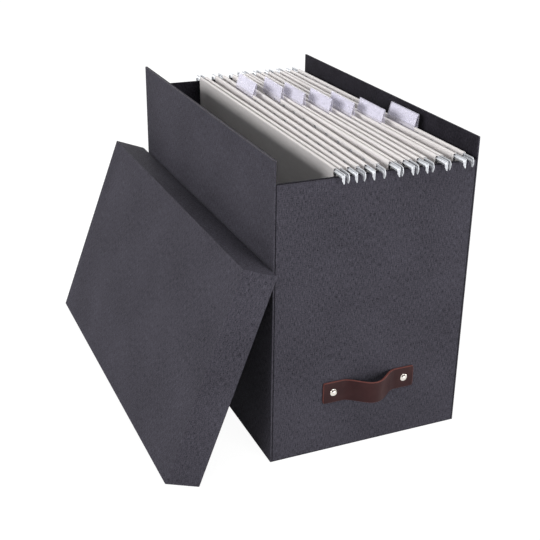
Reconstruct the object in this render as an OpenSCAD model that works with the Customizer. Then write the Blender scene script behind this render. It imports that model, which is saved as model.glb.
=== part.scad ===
// Desk file box: a board box wrapped in linen paper, a lift-off lid leaning against it,
// a leather handle on the front end, and eight hanging folders on steel rails.
// Origin: middle of the base, on the surface it stands on. +X right, +Y back, +Z up.

/* [Box] */
// Outside width across the two long walls
box_w = 181.4; // [172:0.2:200]
// Distance between the middles of the end walls, which the rails bridge
rail_span = 330; // [320:1:345]
// Height of the two long walls
side_h = 268; // [255:1:300]
// How far the end walls stop below the long walls
end_drop = 19; // [17:1:30]
// How far the underside sheet stays in from the outer edges
base_inset = 1; // [0.5:0.5:4]

/* [Wrapped board] */
// Thickness of the grey board
board_t = 1.6; // [1.2:0.1:2.2]
// Thickness of the linen paper outside
cover_t = 0.2; // [0.1:0.05:0.3]
// Thickness of the black paper inside
lining_t = 0.2; // [0.1:0.05:0.3]

/* [Lid] */
// Height of the lid's rim
lid_h = 31; // [22:1:45]
// Gap between the closed lid and each long wall
lid_side_gap = 2.3; // [1.5:0.1:5]
// Gap between the closed lid and the rails' ends
lid_end_gap = 2.25; // [1.5:0.25:5]
// Angle that the leaning lid makes with the upright
lid_lean = 20.6; // [12:0.1:35]
// Gap between the leaning lid's upper edge and the wall beside it
lid_rest_gap = 0.3; // [0.2:0.1:1]
// How far the leaning lid stands behind the middle of the box
lid_offset = 2.9; // [-20:0.1:20]
// Gap between neighbouring edge strips at the lid's corners
strip_gap = 0.1; // [0.05:0.05:0.3]

/* [Handle] */
// Length of the leather strap, from end to end
strap_l = 87; // [80:1:110]
// Width of the strap
strap_w = 19.5; // [15:0.5:24]
// Thickness of the leather
strap_t = 2; // [1.5:0.1:2.6]
// Height of the strap's middle above the base
strap_z = 57.5; // [45:0.1:140]
// How far the strap sits right of the front's middle
strap_x = 0; // [-10:0.1:10]
// Rounding of the strap's corners
strap_corner_r = 1.5; // [0.5:0.5:5]
// Depth of the finger gap behind the arch
arch_h = 14; // [10:0.5:20]
// Length of the arch
arch_l = 51; // [44:1:60]
// Distance from each end of the strap to its screw
screw_inset = 9.6; // [7:0.05:12]
// Diameter of a screw's domed head
screw_head_d = 7; // [5.5:0.5:8]
// Height of a screw's domed head
screw_head_h = 1.8; // [1.2:0.1:2.5]
// Diameter of a screw's shank
screw_shank_d = 3.6; // [3:0.1:4]
// Clearance round a shank
screw_clear = 0.1; // [0.05:0.05:0.2]
// Diameter of a flat nut inside the box
nut_d = 9; // [7.5:0.5:11]
// Thickness of a flat nut
nut_t = 1.5; // [1:0.1:2.5]

/* [Rails] */
// How far a rail reaches past the end wall's outer face
hook_reach = 8.5; // [7.5:0.5:10]
// Width of the round hook at one end of a rail
hook_w = 3.5; // [3:0.1:5]
// Radius of the round hook's outer corner
hook_r = 3.5; // [2:0.5:4]
// How far the round hook's tip stays in from the rail's end
hook_tip_inset = 1.1; // [0.6:0.1:1.4]
// Width of the slim hook at the other end of a rail
slim_hook_w = 2.2; // [1.8:0.1:3]
// Radius of the slim hook's outer corner
slim_hook_r = 1; // [0.5:0.5:2]
// How far the slim hook's tip stays in from the rail's end
slim_tip_inset = 0.1; // [0:0.1:0.5]
// Width of each hook's blunt tip
hook_tip_w = 0.9; // [0.6:0.1:1.2]
// How far the hooks' tips hang below the top of the end wall
hook_drop = 3.5; // [2.5:0.5:8]
// Radius of the hooks' inner corners
hook_inner_r = 2.5; // [1:0.5:3]
// Height of the rail's strip
rail_h = 4.5; // [4:0.1:7]
// Thickness of the rail's strip
rail_t = 0.8; // [0.6:0.1:1.2]
// How far the pressed bead stands out from the strip
bead_t = 1.2; // [0.6:0.1:1.6]
// Width of the pressed bead
bead_w = 1.6; // [1:0.1:2]
// How far the bead runs down into each hook
bead_drop = 1.2; // [0:0.1:1.8]

/* [Folders] */
// Thickness of the card
card_t = 0.4; // [0.3:0.05:0.5]
// Gap between the card and the rail in its pocket
pocket_clear = 0.1; // [0.05:0.05:0.2]
// Gap between a sleeve's ends and the end walls
sleeve_end_gap = 5; // [3:0.5:12]
// Gap between a sleeve's fold and the floor of the box
sleeve_floor_gap = 10; // [4:1:60]
// Height of the pocket that holds a rail
pocket_h = 14; // [11:0.5:20]
// Height of the flap that is glued down below the pocket
flap_h = 12; // [8:1:20]
// Width of the fold at the bottom of a sleeve, inside
fold_w = 1.2; // [0.8:0.1:3]
// Usual distance from one folder to the next
folder_pitch = 16; // [16:0.1:17]
// Distance from the last folder's middle to the right wall
last_folder_gap = 9.2; // [9.2:0.1:14]
// Distance between the tab slots in a sleeve
slot_pitch = 25; // [15:1:40]
// Length of a tab slot
slot_l = 5; // [3:0.5:8]
// Height of a tab slot
slot_h = 2.6; // [1:0.1:2.8]
// Depth of the slots' middle below the top of the card
slot_depth = 3.8; // [2.2:0.1:7]

/* [Tabs] */
// Length of a tab
tab_l = 47.5; // [40:0.5:60]
// Thickness of a tab's plastic
tab_t = 0.4; // [0.3:0.05:0.5]
// How far a tab's top stands above the card
tab_rise = 12; // [10:0.5:14]
// Width of the folded edge at the top of a tab
tab_top_w = 0.8; // [0.8:0.1:1.5]
// How far a tab's front foot reaches down inside the folder
tab_foot = 3; // [3:0.5:6]
// How far a tab's back foot reaches down behind the folder
tab_heel = 2; // [1:0.5:4]
// Height above the card at which both legs of a tab bend
tab_bend = 0.6; // [0.5:0.1:1.5]
// Thickness of the paper label in a tab
label_t = 0.2; // [0.1:0.05:0.3]
// How far a label stays in from its tab's ends
label_inset = 1; // [0.5:0.5:4]
// Distance from a tab's bend to the lower edge of its label
label_gap = 0.8; // [0.6:0.1:3]
// Distance from the upper edge of a label to its tab's folded edge
label_top_gap = 0.8; // [0.6:0.1:3]

/* [Hidden] */
$fn = 64;
FOLDERS = 8;
FIRST_TABBED = 2;
// Distance between the two rails of each folder, from the leftmost folder to the rightmost
SPREAD = [4.2, 7, 9.2, 3.1, 4.4, 5.4, 3.3, 7.7];
// How far each folder hangs from its even place in the row
NUDGE = [0.3, -0.1, 2.4, 1.4, -1.4, -3.6, -5, -4.3];
// How far each folder is turned about the upright, in degrees
TURN = [-0.6, -1.6, -2.3, -1, -1, -1.1, -0.4, 0.5];
// Middle of each tab along the box, from the second folder on
TAB_Y = [93, 71, 43, 13.5, -5, -36, -59.5];
// How far the top of each tab leans past its rail
TAB_LEAN = [3.4, 1.8, 1.8, 2.4, 1.5, 2.4, 3.2];

// Walls, from the outside in
wall_t = cover_t + board_t + lining_t;
box_l = rail_span + wall_t;
half_w = box_w / 2;
half_l = box_l / 2;
end_h = side_h - end_drop;
board_out_x = half_w - cover_t;
board_in_x = board_out_x - board_t;
board_out_y = half_l - cover_t;
board_in_y = board_out_y - board_t;
clear_x = board_in_x - lining_t;
clear_y = board_in_y - lining_t;
floor_z = cover_t + board_t + lining_t;

// Rails and sleeves
rail_l = box_l + 2 * hook_reach;
rail_half = rail_l / 2;
rail_top = end_h + rail_h;
bead_z = end_h + rail_h / 2;
cavity_in = rail_t / 2 + pocket_clear;
cavity_out = rail_t / 2 + bead_t + pocket_clear;
pocket_in = cavity_in + card_t;
pocket_out = cavity_out + card_t;
card_top = rail_top + pocket_clear + card_t;
pocket_z = card_top - pocket_h;
flap_z = pocket_z - flap_h;
sleeve_z = floor_z + sleeve_floor_gap;
sleeve_half = clear_y - sleeve_end_gap;
fold_half = fold_w / 2 + card_t;

// Lid
lid_w = box_w + 2 * (lid_side_gap + wall_t);
lid_l = rail_l + 2 * (lid_end_gap + wall_t);
lid_board_w = lid_w - 2 * cover_t;
lid_board_l = lid_l - 2 * cover_t;
lid_inner_w = lid_board_w - 2 * board_t;
lid_inner_l = lid_board_l - 2 * board_t;
lid_plate_z = lid_h - cover_t - board_t;

// Handle
screw_x = strap_l / 2 - screw_inset;
shank_hole_d = screw_shank_d + 2 * screw_clear;
arch_steps = 24;

function folder_x(i) = clear_x - last_folder_gap - (FOLDERS - i) * folder_pitch + NUDGE[i - 1];

// Unit normal on the left of the step from a to b
function step_normal(a, b) = let (d = (b - a) / norm(b - a)) [-d[1], d[0]];

// Point i of an open path, moved sideways by s so that the steps beside it stay parallel
function moved(path, i, s) =
    let (
        last = len(path) - 1,
        before = step_normal(path[max(i, 1) - 1], path[max(i, 1)]),
        after = step_normal(path[min(i, last - 1)], path[min(i, last - 1) + 1]),
        mid = (before + after) / norm(before + after)
    )
    path[i] + mid * s / (mid * before);

// Outline of a strip that follows an open path, from s0 to s1 on its left
function strip(path, s0, s1) = concat(
    [for (i = [0:len(path) - 1]) moved(path, i, s0)],
    [for (i = [len(path) - 1:-1:0]) moved(path, i, s1)]
);

// A block between two opposite corners
module block(low, high) {
    translate(low)
    cube(high - low);
}

// An outline in X and Z, drawn out along Y about the middle
module along_y(length) {
    rotate([90, 0, 0])
    linear_extrude(length, center = true)
    children();
}

// An outline in Y and Z, drawn out along X from x0 to x1
module along_x(x0, x1) {
    translate([x0, 0, 0])
    rotate([90, 0, 90])
    linear_extrude(x1 - x0)
    children();
}

// Grey board panels
module base_board() {
    color("#8a857c")
    block([-board_in_x, -board_in_y, cover_t], [board_in_x, board_in_y, cover_t + board_t]);
}

module side_board_shape() {
    block(
        [board_in_x, -board_out_y, 2 * cover_t],
        [board_out_x, board_out_y, side_h - cover_t]
    );
}

module end_board_shape() {
    block(
        [-board_in_x, board_in_y, 2 * cover_t],
        [board_in_x, board_out_y, end_h - cover_t]
    );
}

module left_board() {
    color("#8a857c")
    mirror([1, 0, 0])
    side_board_shape();
}

module right_board() {
    color("#8a857c")
    side_board_shape();
}

module front_board() {
    color("#8a857c")
    difference() {
        mirror([0, 1, 0])
        end_board_shape();
        shank_holes();
    }
}

module back_board() {
    color("#8a857c")
    end_board_shape();
}

// Linen paper, folded round the edges of each panel
module base_cover() {
    color("#46444a")
    block(
        [base_inset - half_w, base_inset - half_l, 0],
        [half_w - base_inset, half_l - base_inset, cover_t]
    );
}

module side_cover_shape() {
    difference() {
        block([board_in_x, -half_l, cover_t], [half_w, half_l, side_h]);
        side_board_shape();
    }
}

module end_cover_shape() {
    difference() {
        block([-board_in_x, board_in_y, cover_t], [board_in_x, half_l, end_h]);
        end_board_shape();
    }
}

module left_cover() {
    color("#45434a")
    mirror([1, 0, 0])
    side_cover_shape();
}

module right_cover() {
    color("#45434a")
    side_cover_shape();
}

module front_cover() {
    color("#4a484f")
    difference() {
        mirror([0, 1, 0])
        end_cover_shape();
        shank_holes();
    }
}

module back_cover() {
    color("#4a484f")
    end_cover_shape();
}

// Black paper inside: a tray, with a strip above each end of the long walls
module lining() {
    color("#232126")
    difference() {
        union() {
            block([-board_in_x, -board_in_y, floor_z - lining_t], [board_in_x, board_in_y, end_h]);
            for (side = [-1, 1]) {
                along_x(min(side * board_in_x, side * clear_x), max(side * board_in_x, side * clear_x)) {
                    translate([-board_in_y, floor_z])
                    square([2 * board_in_y, side_h - floor_z]);
                    translate([-half_l, end_h])
                    square([box_l, end_drop]);
                }
            }
        }
        block([-clear_x, -clear_y, floor_z], [clear_x, clear_y, side_h + 1]);
        shank_holes();
    }
}

// Handle
module at_screws() {
    for (side = [-1, 1]) {
        translate([strap_x + side * screw_x, -half_l, strap_z])
        rotate([90, 0, 0])
        children();
    }
}

module shank_holes() {
    at_screws()
    translate([0, 0, -wall_t - 1])
    cylinder(d = shank_hole_d, h = wall_t + strap_t + 2);
}

// Height of the arch's inner face above the wall, at x from its middle
function arch(x) = abs(x) < arch_l / 2 ? arch_h * (1 + cos(360 * x / arch_l)) / 2 : 0;

module handle_strap() {
    bumps = [for (k = [0:arch_steps]) let (x = arch_l * (k / arch_steps - 0.5)) [x, -arch(x)]];
    inner = concat([[-strap_l / 2, 0]], bumps, [[strap_l / 2, 0]]);
    color("#46292b")
    translate([strap_x, -half_l, strap_z])
    difference() {
        intersection() {
            linear_extrude(strap_w, center = true)
            polygon(strip(inner, -strap_t, 0));
            rotate([90, 0, 0])
            linear_extrude(arch_h + strap_t + 1)
            strap_face();
        }
        translate([-strap_x, half_l, -strap_z])
        shank_holes();
    }
}

// The strap seen from the front: a bar with rounded corners
module strap_face() {
    inner_l = strap_l - 2 * strap_corner_r;
    inner_w = strap_w - 2 * strap_corner_r;
    square([strap_l, inner_w], center = true);
    square([inner_l, strap_w], center = true);
    for (sx = [-1, 1], sz = [-1, 1]) {
        translate([sx * inner_l / 2, sz * inner_w / 2])
        circle(r = strap_corner_r);
    }
}

module handle_screws() {
    dome_r = (pow(screw_head_d / 2, 2) + pow(screw_head_h, 2)) / (2 * screw_head_h);
    color("#d5d3d0")
    at_screws() {
        translate([0, 0, strap_t])
        intersection() {
            translate([0, 0, screw_head_h - dome_r])
            sphere(r = dome_r);
            cylinder(d = screw_head_d + 1, h = screw_head_h + 1);
        }
        translate([0, 0, -wall_t - nut_t])
        cylinder(d = screw_shank_d, h = wall_t + nut_t + strap_t);
    }
}

module handle_nuts() {
    color("#b9b7b4")
    at_screws()
    translate([0, 0, -wall_t - nut_t])
    difference() {
        cylinder(d = nut_d, h = nut_t);
        translate([0, 0, -1])
        cylinder(d = shank_hole_d, h = nut_t + 2);
    }
}

// Lid, drawn closed with its open edge at z = 0, then set leaning against the left wall
module leaning() {
    translate([
        -half_w - lid_rest_gap - lid_w / 2 * sin(lid_lean),
        lid_offset,
        lid_w / 2 * cos(lid_lean)
    ])
    rotate([0, lid_lean - 90, 0])
    children();
}

// A block centred on the lid's middle, from z0 to z1
module lid_block(w, l, z0, z1) {
    block([-w / 2, -l / 2, z0], [w / 2, l / 2, z1]);
}

module lid_top_board() {
    color("#8a857c")
    leaning()
    lid_block(lid_board_w, lid_board_l, lid_plate_z, lid_h - cover_t);
}

// The board along one long side of the rim
module lid_long_board(side) {
    color("#8a857c")
    leaning()
    scale([side, 1, 1])
    block([lid_inner_w / 2, -lid_board_l / 2, cover_t], [lid_board_w / 2, lid_board_l / 2, lid_plate_z]);
}

// The board along one short side of the rim
module lid_short_board(side) {
    color("#8a857c")
    leaning()
    scale([1, side, 1])
    block([-lid_inner_w / 2, lid_inner_l / 2, cover_t], [lid_inner_w / 2, lid_board_l / 2, lid_plate_z]);
}

module lid_cover() {
    color("#4b494f")
    leaning()
    difference() {
        lid_block(lid_w, lid_l, 0, lid_h);
        lid_block(lid_board_w, lid_board_l, -1, lid_h - cover_t);
    }
}

// The paper folded over the rim's open edge: four strips
module lid_edge_strips() {
    color("#4b494f")
    leaning()
    for (side = [-1, 1]) {
        scale([side, 1, 1])
        block([lid_inner_w / 2, -lid_board_l / 2, 0], [lid_board_w / 2, lid_board_l / 2, cover_t]);
        scale([1, side, 1])
        block(
            [strip_gap - lid_inner_w / 2, lid_inner_l / 2, 0],
            [lid_inner_w / 2 - strip_gap, lid_board_l / 2, cover_t]
        );
    }
}

module lid_lining() {
    color("#232126")
    leaning()
    difference() {
        lid_block(lid_inner_w, lid_inner_l, 0, lid_plate_z);
        lid_block(lid_inner_w - 2 * lining_t, lid_inner_l - 2 * lining_t, -1, lid_plate_z - lining_t);
    }
}

// Places a folder's own shapes, drawn about x = 0, in the row
module in_row(i) {
    translate([folder_x(i), 0, 0])
    rotate([0, 0, TURN[i - 1]])
    children();
}

// Half of a rail's outline, from its middle to the end with y above 0, for a hook of width w
function rail_half_outline(w, r, tip_inset) = concat(
    [[0, rail_top]],
    [for (k = [0:6]) let (a = 90 - 15 * k)
        [rail_half - r + r * cos(a), rail_top - r + r * sin(a)]],
    [
        [rail_half - tip_inset, end_h - hook_drop],
        [rail_half - tip_inset - hook_tip_w, end_h - hook_drop]
    ],
    [for (k = [0:4]) let (a = 22.5 * k)
        [rail_half - w - hook_inner_r * (1 - cos(a)), end_h - hook_inner_r * (1 - sin(a))]],
    [[0, end_h]]
);

function mirrored(points) = [for (k = [len(points) - 1:-1:0]) [-points[k][0], points[k][1]]];

// A steel strip with a round hook, a slim one and a bead pressed out on one side. A folder's two
// rails are the same part: the right one has its round hook in front, the left one is turned round.
module rail(i, side) {
    round_y = hook_w / 2 - rail_half;
    slim_y = rail_half - slim_hook_w / 2;
    color("#cfd0d2")
    in_row(i)
    translate([side * SPREAD[i - 1] / 2, 0, 0])
    rotate([0, 0, side < 0 ? 180 : 0]) {
        along_x(-rail_t / 2, rail_t / 2)
        polygon(concat(
            rail_half_outline(slim_hook_w, slim_hook_r, slim_tip_inset),
            mirrored(rail_half_outline(hook_w, hook_r, hook_tip_inset))
        ));
        along_x(0, rail_t / 2 + bead_t) {
            translate([round_y - bead_w / 2, bead_z - bead_w / 2])
            square([slim_y - round_y + bead_w, bead_w]);
            for (y = [round_y, slim_y]) {
                translate([y - bead_w / 2, end_h - bead_drop])
                square([bead_w, bead_z - end_h + bead_drop]);
            }
        }
    }
}

// The outer face of a sleeve's panel, at height z
function panel_x(g, z) =
    fold_half + (g / 2 + pocket_out - fold_half) * (z - sleeve_z) / (pocket_z - sleeve_z);

// Half of a sleeve's section, from the fold's middle up the outside and down the inside
function sleeve_half_outline(g) = [
    [0, sleeve_z],
    [fold_half, sleeve_z],
    [g / 2 + pocket_out, pocket_z],
    [g / 2 + pocket_out, card_top],
    [g / 2 - pocket_in, card_top],
    [g / 2 - pocket_in, pocket_z],
    [panel_x(g, flap_z) - 2 * card_t, flap_z],
    [panel_x(g, flap_z) - card_t, flap_z],
    [fold_half - card_t, sleeve_z + card_t],
    [0, sleeve_z + card_t]
];

// The room for a rail inside a folded and glued top edge
module sleeve_cavity(g) {
    polygon([
        [g / 2 - cavity_in, card_top - card_t],
        [g / 2 + cavity_out, card_top - card_t],
        [g / 2 + cavity_out, pocket_z],
        [panel_x(g, flap_z + card_t) - card_t, flap_z + card_t],
        [g / 2 - cavity_in, pocket_z]
    ]);
}

module sleeve(i) {
    g = SPREAD[i - 1];
    half = sleeve_half_outline(g);
    slots = floor(sleeve_half / slot_pitch - 0.5);
    color("#e6e3df")
    in_row(i)
    difference() {
        along_y(2 * sleeve_half)
        difference() {
            polygon(concat(half, mirrored(half)));
            sleeve_cavity(g);
            mirror([1, 0])
            sleeve_cavity(g);
        }
        for (k = [-slots - 0.5:1:slots + 0.5]) {
            translate([g / 2 - pocket_in + card_t / 2, k * slot_pitch, card_top - slot_depth])
            cube([card_t + pocket_clear, slot_l, slot_h], center = true);
        }
    }
}

// The line that a tab's plastic follows, over the right-hand rail of its folder
function tab_path(i) =
    let (rail_x = SPREAD[i - 1] / 2)
    [
        [rail_x - pocket_in - tab_t / 2, card_top - tab_foot],
        [rail_x - pocket_in - tab_t / 2, card_top + tab_bend],
        [rail_x + TAB_LEAN[i - FIRST_TABBED] - tab_top_w, card_top + tab_rise - tab_t / 2],
        [rail_x + TAB_LEAN[i - FIRST_TABBED], card_top + tab_rise - tab_t / 2],
        [rail_x + pocket_out + tab_t / 2, card_top + tab_bend],
        [rail_x + pocket_out + tab_t / 2, card_top - tab_heel]
    ];

module at_tab(i) {
    in_row(i)
    translate([0, TAB_Y[i - FIRST_TABBED], 0])
    children();
}

module tab(i) {
    color("#cfcfe0")
    at_tab(i)
    along_y(tab_l)
    polygon(strip(tab_path(i), -tab_t / 2, tab_t / 2));
}

// A paper strip behind the tab's front leg
module label(i) {
    path = tab_path(i);
    along = (path[2] - path[1]) / norm(path[2] - path[1]);
    low = path[1] + along * label_gap;
    high = path[2] - along * label_top_gap;
    color("#f4f3f6")
    at_tab(i)
    along_y(tab_l - 2 * label_inset)
    polygon(strip([low, high], -tab_t / 2 - label_t, -tab_t / 2));
}

BOX_NODES = [
    "base_board", "left_board", "right_board", "front_board", "back_board",
    "base_cover", "left_cover", "right_cover", "front_cover", "back_cover", "lining",
    "handle_strap", "handle_screws", "handle_nuts"
];
LID_NODES = [
    "lid_top_board", "lid_left_board", "lid_right_board", "lid_front_board", "lid_back_board",
    "lid_cover", "lid_edge_strips", "lid_lining"
];
FOLDER_NODES = [
    for (i = [1:FOLDERS], piece = ["sleeve", "rail_left", "rail_right"]) str("folder_", i, "_", piece)
];
TAB_NODES = [for (i = [FIRST_TABBED:FOLDERS], piece = ["tab", "label"]) str("folder_", i, "_", piece)];

base_board();
left_board();
right_board();
front_board();
back_board();
base_cover();
left_cover();
right_cover();
front_cover();
back_cover();
lining();
handle_strap();
handle_screws();
handle_nuts();
lid_top_board();
lid_long_board(1);  // lid_left_board
lid_long_board(-1);  // lid_right_board
lid_short_board(-1);  // lid_front_board
lid_short_board(1);  // lid_back_board
lid_cover();
lid_edge_strips();
lid_lining();
for (i = [1:FOLDERS]) {
    sleeve(i);
    rail(i, -1);
    rail(i, 1);
}
for (i = [FIRST_TABBED:FOLDERS]) {
    tab(i);
    label(i);
}
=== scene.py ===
"""Looks of a portable file box: linen-wrapped panels, a leather handle, hanging folders and a leaning lid."""

import logging
import math
from dataclasses import dataclass, field
from enum import Enum
from functools import cache

import bmesh
import bpy
import numpy as np
from mathutils import Euler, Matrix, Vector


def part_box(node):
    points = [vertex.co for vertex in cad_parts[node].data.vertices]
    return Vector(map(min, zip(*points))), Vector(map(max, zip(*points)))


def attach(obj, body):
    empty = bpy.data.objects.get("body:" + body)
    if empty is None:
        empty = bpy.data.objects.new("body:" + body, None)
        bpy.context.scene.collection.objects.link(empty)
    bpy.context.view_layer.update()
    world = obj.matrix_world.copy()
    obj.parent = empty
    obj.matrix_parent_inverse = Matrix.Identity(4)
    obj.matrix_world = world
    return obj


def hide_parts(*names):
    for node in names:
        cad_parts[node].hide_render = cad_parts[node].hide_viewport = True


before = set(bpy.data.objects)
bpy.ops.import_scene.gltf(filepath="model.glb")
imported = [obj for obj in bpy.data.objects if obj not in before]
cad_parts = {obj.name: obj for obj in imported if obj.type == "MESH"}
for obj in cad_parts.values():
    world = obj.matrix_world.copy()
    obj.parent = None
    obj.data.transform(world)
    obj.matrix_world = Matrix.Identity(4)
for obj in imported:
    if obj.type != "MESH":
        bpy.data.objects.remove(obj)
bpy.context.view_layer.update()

log = logging.getLogger("file_box")
Array = np.ndarray
Triple = tuple[float, float, float]
Colour = Triple
MM = 0.001
CORNER_STEPS = 5
WEAR_BAND = 0.6 * MM


# Shapes


@dataclass
class Surface:
    """Points, faces and the values that ride on them, before they become a mesh."""

    points: Array
    faces: list[tuple[int, ...]] = field(default_factory=list)
    marks: dict[str, Array] = field(default_factory=dict)

    def joined(self, other: "Surface") -> "Surface":
        """Both surfaces as one.

        Args:
            other: a surface with the same marks.

        Returns:
            A new surface with the points, faces and marks of both.
        """
        shift = len(self.points)
        faces = self.faces + [tuple(i + shift for i in f) for f in other.faces]
        marks = {k: np.concatenate([v, other.marks[k]]) for k, v in self.marks.items()}
        return Surface(np.concatenate([self.points, other.points]), faces, marks)

    def mesh(self, name: str, smooth_angle: float = 40.0) -> bpy.types.Object:
        """Puts the surface into a new object at the origin.

        Args:
            name: the piece's name.
            smooth_angle: faces that meet at less than this angle, in degrees, are shaded smoothly.

        Returns:
            The object, linked to the scene.
        """
        data = bpy.data.meshes.new(name)
        data.from_pydata(self.points.tolist(), [], self.faces)
        for key, values in self.marks.items():
            layer = data.attributes.new(key, "FLOAT", "POINT")
            layer.data.foreach_set("value", values.astype(np.float32))
        data.validate()
        data.polygons.foreach_set("use_smooth", np.ones(len(data.polygons), bool))
        data.set_sharp_from_angle(angle=math.radians(smooth_angle))
        piece = bpy.data.objects.new(name, data)
        bpy.context.scene.collection.objects.link(piece)
        return piece


def cells(rows: int, columns: int, round_columns: bool = False) -> Array:
    """Corner numbers of the quads of a grid of points.

    Args:
        rows: number of rows of points.
        columns: points in each row.
        round_columns: joins the last column to the first.

    Returns:
        An array with four corners a quad. Point (i, j) has the number i * columns + j.
    """
    i = np.arange(rows - 1)[:, None]
    j = np.arange(columns if round_columns else columns - 1)[None, :]
    i1, j1 = i + 1, (j + 1) % columns
    corners = (i * columns + j, i1 * columns + j, i1 * columns + j1, i * columns + j1)
    return np.stack(np.broadcast_arrays(*corners), -1).reshape(-1, 4)


def as_faces(quads: Array) -> list[tuple[int, ...]]:
    """Rows of corner numbers as a list of faces."""
    return [tuple(f) for f in quads.tolist()]


def tube_faces(rings: int, around: int) -> list[tuple[int, ...]]:
    """Faces of a tube of rings, with a cap at each end.

    Args:
        rings: number of rings.
        around: points in each ring.

    Returns:
        Corner numbers of each face.
    """
    last = (rings - 1) * around
    caps = [tuple(range(around)), tuple(range(last, last + around))[::-1]]
    return as_faces(cells(rings, around, round_columns=True)) + caps


def rounded_path(corners: Array, radii: Array, steps: int = 5) -> Array:
    """An open path with rounded corners.

    Each inner corner p is replaced by the curve (1-t)^2 a + 2 t (1-t) p + t^2 b, where a and b lie
    on its two sides, the radius times the tangent of half the turn away from p.

    Args:
        corners: points of the path, one a row.
        radii: radius at each inner corner, two fewer than the corners.
        steps: points on each rounded corner.

    Returns:
        The points of the rounded path.
    """
    before = corners[1:-1] - corners[:-2]
    after = corners[2:] - corners[1:-1]
    before = before / np.linalg.norm(before, axis=1, keepdims=True)
    after = after / np.linalg.norm(after, axis=1, keepdims=True)
    turn = np.arccos(np.clip((before * after).sum(1), -1, 1))
    reach = (radii * np.tan(turn / 2))[:, None]
    p, a, b = corners[1:-1], corners[1:-1] - before * reach, corners[1:-1] + after * reach
    t = np.linspace(0, 1, steps)[:, None, None]
    curves = (1 - t) ** 2 * a + 2 * t * (1 - t) * p + t**2 * b
    inner = curves.transpose(1, 0, 2).reshape(-1, corners.shape[1])
    path = np.concatenate([corners[:1], inner, corners[-1:]])
    apart = np.linalg.norm(np.diff(path, axis=0), axis=1) > 1e-7
    return path[np.concatenate([[True], apart])]


def with_bands(path: Array, band: float) -> tuple[Array, Array]:
    """Adds two points to each long straight of a path, a band's width inside its ends.

    Args:
        path: points of the path, one a row.
        band: distance of the new points from the straight's ends.

    Returns:
        The points, and 1 at those that were there and 0 at the new ones and at both ends.
    """
    length = np.linalg.norm(np.diff(path, axis=0), axis=1)
    run = np.concatenate([[0], np.cumsum(length)])
    long = length > 3 * band
    place = np.concatenate([run, run[:-1][long] + band, run[1:][long] - band])
    mark = (np.arange(len(place)) < len(run)).astype(float)
    order = np.argsort(place)
    points = np.stack([np.interp(place[order], run, path[:, k]) for k in range(path.shape[1])], 1)
    mark = mark[order]
    mark[[0, -1]] = 0
    return points, mark


def side_of(path: Array) -> Array:
    """Unit normals on the left of an open flat path, each square to the line between its neighbours."""
    run = np.gradient(path, axis=0)
    normal = np.stack([-run[:, 1], run[:, 0]], 1)
    return normal / np.linalg.norm(normal, axis=1, keepdims=True)


def folded_sheet(middle: Array, thickness: float, present: Array | None = None, **marks: Array) -> Surface:
    """A sheet with a thickness, from the grid of points of its middle.

    The normal is the cross product of the grid's two differences. Both faces are the middle moved
    half the thickness along it, and a wall joins them wherever a cell has no neighbour.

    Args:
        middle: points, rows by columns by 3.
        thickness: thickness of the sheet.
        present: which cells are there, rows - 1 by columns - 1; all where left out.
        marks: values of the middle's points.

    Returns:
        The closed sheet.
    """
    rows, columns = middle.shape[:2]
    normal = np.cross(np.gradient(middle, axis=0), np.gradient(middle, axis=1))
    normal /= np.linalg.norm(normal, axis=2, keepdims=True)
    there = np.ones((rows - 1, columns - 1), bool) if present is None else present
    quads = cells(rows, columns)[there.ravel()]
    count = rows * columns
    padded = np.pad(there, 1)
    walls = []
    neighbours = ((0, 1), (1, 2), (2, 3), (3, 0))
    shifted = (padded[1:-1, :-2], padded[2:, 1:-1], padded[1:-1, 2:], padded[:-2, 1:-1])
    for (first, second), beside in zip(neighbours, shifted):
        edge = cells(rows, columns)[(there & ~beside).ravel()][:, [first, second]]
        walls.append(np.stack([edge[:, 0], edge[:, 0] + count, edge[:, 1] + count, edge[:, 1]], 1))
    faces = np.concatenate([quads, quads[:, ::-1] + count, *walls])
    half = normal * thickness / 2
    points = np.concatenate([(middle + half).reshape(-1, 3), (middle - half).reshape(-1, 3)])
    both = {k: np.tile(np.broadcast_to(v, (rows, columns)).ravel(), 2) for k, v in marks.items()}
    return Surface(points, as_faces(faces), both)


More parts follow.
